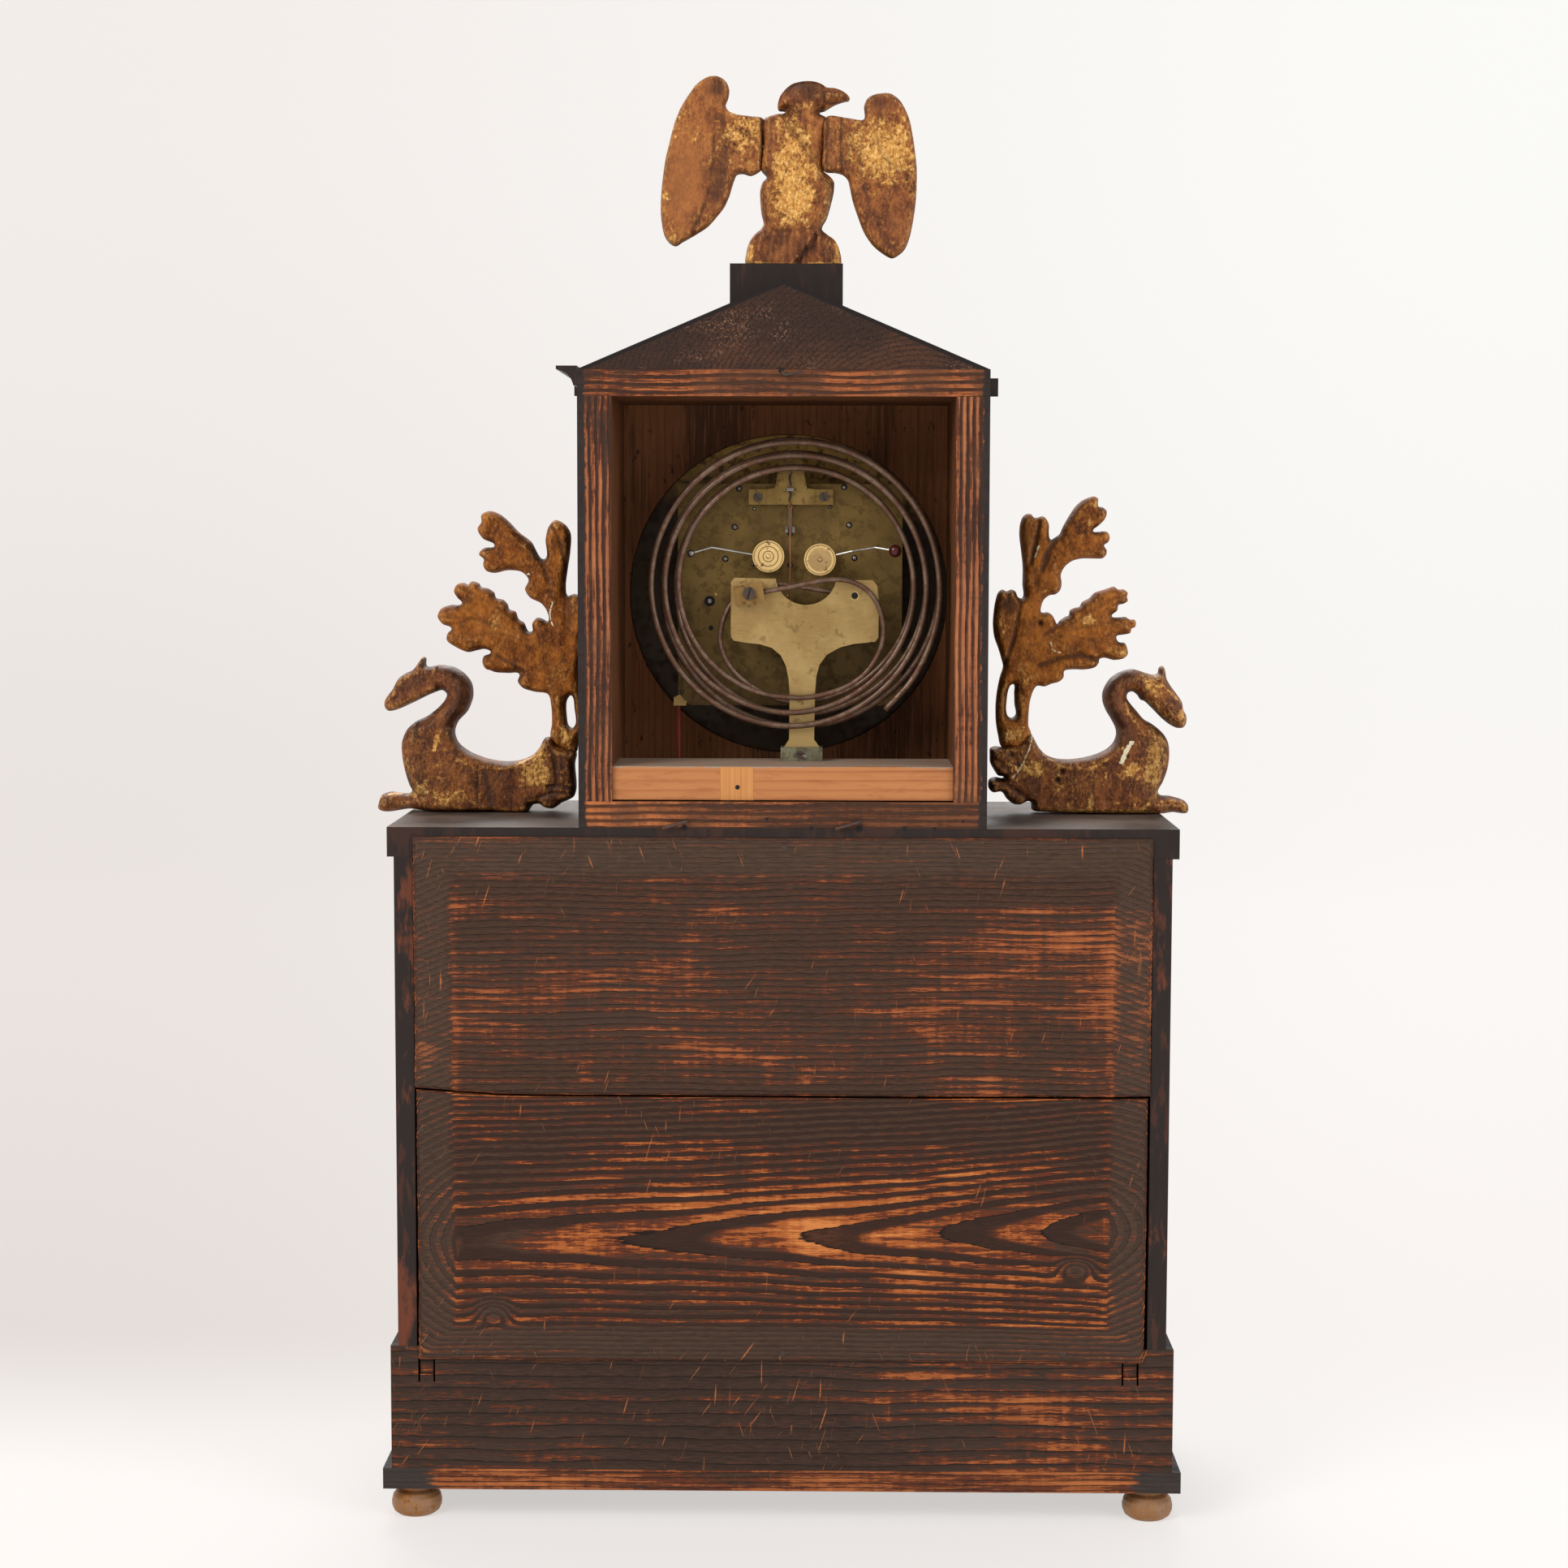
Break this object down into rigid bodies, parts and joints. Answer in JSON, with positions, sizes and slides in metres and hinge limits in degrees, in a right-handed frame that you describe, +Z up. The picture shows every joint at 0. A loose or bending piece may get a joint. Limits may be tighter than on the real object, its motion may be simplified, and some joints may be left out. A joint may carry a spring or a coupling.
{
  "type": "portico clock",
  "caption": "Portico mantel clock, open at the back: ebonised wooden case with columns and pediment, carved gilt eagle and swans, hinged bezel, spring movement and coiled wire gongs.",
  "frame": {"origin": "on the surface the clock stands on, under the middle of the case", "axes": "+Z up; the dial faces -Y; the open back faces +Y; +X to the right when looking at the dial"},
  "size_m": [0.3808, 0.14, 0.6489],
  "materials": {
    "light_worn_wood": "turned softwood with worn gilding, satin",
    "orange_pine": "bare pine edge, toned orange, with black lines",
    "stained_back": "dark stain worn through to orange pine along the grain",
    "ebonised": "ebonised polish, satin, red-brown at rubbed edges",
    "hood_pine": "orange-brown pine, strong dark grain",
    "dial_pine": "red-brown pine, vertical grain",
    "pale_pine": "pale tan pine, planed",
    "roof_wood": "dark red-brown end grain, black veneer on the slopes",
    "giltwood": "worn gold leaf over brown-red bole",
    "gilt_brass": "gilt brass, polished, slightly worn",
    "alabaster": "pale alabaster, polished",
    "mirror": "old silvered glass",
    "glass": "clear glass",
    "enamel": "white enamel, gloss, black numbers",
    "dull_brass": "brass gone dull olive, mottled",
    "khaki_brass": "satin brass, brushed, pale khaki",
    "bright_brass": "turned and polished brass",
    "bronze_brass": "brown bronze-coloured brass",
    "gong_steel": "grey-brown steel wire with a little rust",
    "screw_steel": "old steel, slightly rusted",
    "blued_steel": "blued steel, polished",
    "copper": "copper wire, brown",
    "red_silk": "twisted red silk cord"
  },
  "bodies": {
    "case": {"bun_feet": "light_worn_wood", "base_board": "orange_pine", "plinth_boards": "stained_back", "case_sides": "ebonised", "portico_frame": "ebonised", "mirror_glass": "mirror", "mirror_frame": "giltwood", "column_shafts": "alabaster", "column_mounts": "gilt_brass", "case_top_board": "ebonised", "back_board_upper": "stained_back", "back_board_lower": "stained_back", "hood_sides": "hood_pine", "hood_rails": "hood_pine", "dial_board": "dial_pine", "seat_block": "pale_pine", "cornice": "ebonised", "pediment": "roof_wood", "finial_block": "ebonised", "eagle_body": "giltwood", "eagle_wings": "giltwood", "swans": "giltwood", "foliage_sprays": "giltwood", "fasteners": "screw_steel", "dial_back_plate": "dull_brass", "enamel_dial": "enamel", "bezel_hinge": "gilt_brass", "front_plate": "dull_brass", "back_plate": "dull_brass", "plate_pillars": "dull_brass", "suspension_cock": "khaki_brass", "gong_stand": "khaki_brass", "gong_clamps": "bronze_brass", "gong_front": "gong_steel", "gong_rear": "gong_steel"},
    "bezel": {"bezel": "gilt_brass", "bezel_glass": "glass"},
    "minute_hand": {"minute_hand": "blued_steel", "centre_arbor": "dull_brass"},
    "hour_hand": {"hour_hand": "blued_steel"},
    "minute_wheel": {"minute_wheel": "dull_brass"},
    "going_barrel": {"going_barrel": "dull_brass"},
    "third_wheel": {"third_wheel": "dull_brass"},
    "escape_wheel": {"escape_wheel": "dull_brass"},
    "anchor": {"anchor": "screw_steel"},
    "pendulum": {"pendulum": "copper"},
    "hour_barrel": {"hour_barrel": "dull_brass"},
    "hour_pin_wheel": {"hour_pin_wheel": "dull_brass"},
    "hour_fly": {"hour_fly": "dull_brass"},
    "quarter_barrel": {"quarter_barrel": "dull_brass"},
    "quarter_pin_wheel": {"quarter_pin_wheel": "dull_brass"},
    "quarter_fly": {"quarter_fly": "dull_brass"},
    "winding_arbor_going": {"winding_arbor_going": "screw_steel"},
    "winding_arbor_hour": {"winding_arbor_hour": "screw_steel"},
    "winding_arbor_quarter": {"winding_arbor_quarter": "screw_steel"},
    "hammer_left": {"hammer_left": "bright_brass"},
    "hammer_right": {"hammer_right": "bright_brass"},
    "repeat_slide": {"repeat_slider": "khaki_brass", "pull_cord": "red_silk", "pull_knob": "gilt_brass"}
  },
  "joints": [
    {"name": "bezel_open", "type": "hinge", "parent": "case", "child": "bezel", "pos_m": [-0.0868, -0.0316, 0.417], "axis": [0, 0, -1], "range_deg": [0, 110]},
    {"name": "minute_turn", "type": "hinge", "parent": "case", "child": "minute_hand", "pos_m": [-0.0015, 0, 0.417], "axis": [0, 1, 0], "continuous": true},
    {"name": "hour_turn", "type": "hinge", "parent": "case", "child": "hour_hand", "pos_m": [-0.0015, 0, 0.417], "axis": [0, 1, 0], "continuous": true},
    {"name": "minute_wheel_turn", "type": "hinge", "parent": "case", "child": "minute_wheel", "pos_m": [-0.0015, 0, 0.429], "axis": [0, 1, 0], "continuous": true},
    {"name": "going_barrel_turn", "type": "hinge", "parent": "case", "child": "going_barrel", "pos_m": [-0.0015, 0, 0.3978], "axis": [0, 1, 0], "continuous": true},
    {"name": "third_wheel_turn", "type": "hinge", "parent": "case", "child": "third_wheel", "pos_m": [-0.0026, 0, 0.43091], "axis": [0, 1, 0], "continuous": true},
    {"name": "escape_wheel_turn", "type": "hinge", "parent": "case", "child": "escape_wheel", "pos_m": [-0.0025, 0, 0.44393], "axis": [0, 1, 0], "continuous": true},
    {"name": "pendulum_swing", "type": "hinge", "parent": "case", "child": "pendulum", "pos_m": [-0.0025, 0, 0.477], "axis": [0, 1, 0], "range_deg": [-2.5, 2.5]},
    {"name": "anchor_rock", "type": "hinge", "parent": "case", "child": "anchor", "pos_m": [-0.0025, 0, 0.462], "axis": [0, 1, 0], "range_deg": [-5, 5]},
    {"name": "hour_pin_wheel_turn", "type": "hinge", "parent": "case", "child": "hour_pin_wheel", "pos_m": [0.0315, 0, 0.4174], "axis": [0, 1, 0], "continuous": true},
    {"name": "hour_barrel_turn", "type": "hinge", "parent": "case", "child": "hour_barrel", "pos_m": [0.0297, 0, 0.39869], "axis": [0, 1, 0], "continuous": true},
    {"name": "hour_fly_turn", "type": "hinge", "parent": "case", "child": "hour_fly", "pos_m": [0.0271, 0, 0.4336], "axis": [0, 1, 0], "continuous": true},
    {"name": "quarter_pin_wheel_turn", "type": "hinge", "parent": "case", "child": "quarter_pin_wheel", "pos_m": [-0.0365, 0, 0.4174], "axis": [0, 1, 0], "continuous": true},
    {"name": "quarter_barrel_turn", "type": "hinge", "parent": "case", "child": "quarter_barrel", "pos_m": [-0.0347, 0, 0.39869], "axis": [0, 1, 0], "continuous": true},
    {"name": "quarter_fly_turn", "type": "hinge", "parent": "case", "child": "quarter_fly", "pos_m": [-0.0321, 0, 0.4336], "axis": [0, 1, 0], "continuous": true},
    {"name": "winding_going_turn", "type": "hinge", "parent": "case", "child": "winding_arbor_going", "pos_m": [-0.0015, 0, 0.3978], "axis": [0, 1, 0], "range_deg": [0, 1800]},
    {"name": "winding_hour_turn", "type": "hinge", "parent": "case", "child": "winding_arbor_hour", "pos_m": [0.0297, 0, 0.39869], "axis": [0, 1, 0], "range_deg": [0, 1800]},
    {"name": "winding_quarter_turn", "type": "hinge", "parent": "case", "child": "winding_arbor_quarter", "pos_m": [-0.0347, 0, 0.39869], "axis": [0, 1, 0], "range_deg": [0, 1800]},
    {"name": "hammer_left_swing", "type": "hinge", "parent": "case", "child": "hammer_left", "pos_m": [0.0073, 0, 0.4348], "axis": [0, 1, 0], "range_deg": [-5.6, 12], "stiffness_Nm_per_rad": 0.02, "springref_deg": -0.69},
    {"name": "hammer_right_swing", "type": "hinge", "parent": "case", "child": "hammer_right", "pos_m": [-0.0162, 0, 0.4334], "axis": [0, 1, 0], "range_deg": [-12, 7.7], "stiffness_Nm_per_rad": 0.02, "springref_deg": 0.86},
    {"name": "repeat_pull", "type": "slide", "parent": "case", "child": "repeat_slide", "axis": [0, 0, -1], "range_m": [0, 0.008], "stiffness_N_per_m": 300, "springref_m": -0.0005}
  ],
  "couplings": [
    {"joint": "hour_turn", "follows": "minute_turn", "ratio": 0.083333},
    {"joint": "minute_wheel_turn", "follows": "minute_turn", "ratio": -0.33333},
    {"joint": "going_barrel_turn", "follows": "minute_turn", "ratio": -0.14286},
    {"joint": "third_wheel_turn", "follows": "minute_turn", "ratio": -14},
    {"joint": "escape_wheel_turn", "follows": "minute_turn", "ratio": 182},
    {"joint": "anchor_rock", "follows": "pendulum_swing", "ratio": 2},
    {"joint": "hour_barrel_turn", "follows": "hour_pin_wheel_turn", "ratio": -0.11905},
    {"joint": "hour_fly_turn", "follows": "hour_pin_wheel_turn", "ratio": -11},
    {"joint": "quarter_barrel_turn", "follows": "quarter_pin_wheel_turn", "ratio": -0.11905},
    {"joint": "quarter_fly_turn", "follows": "quarter_pin_wheel_turn", "ratio": -11}
  ]
}
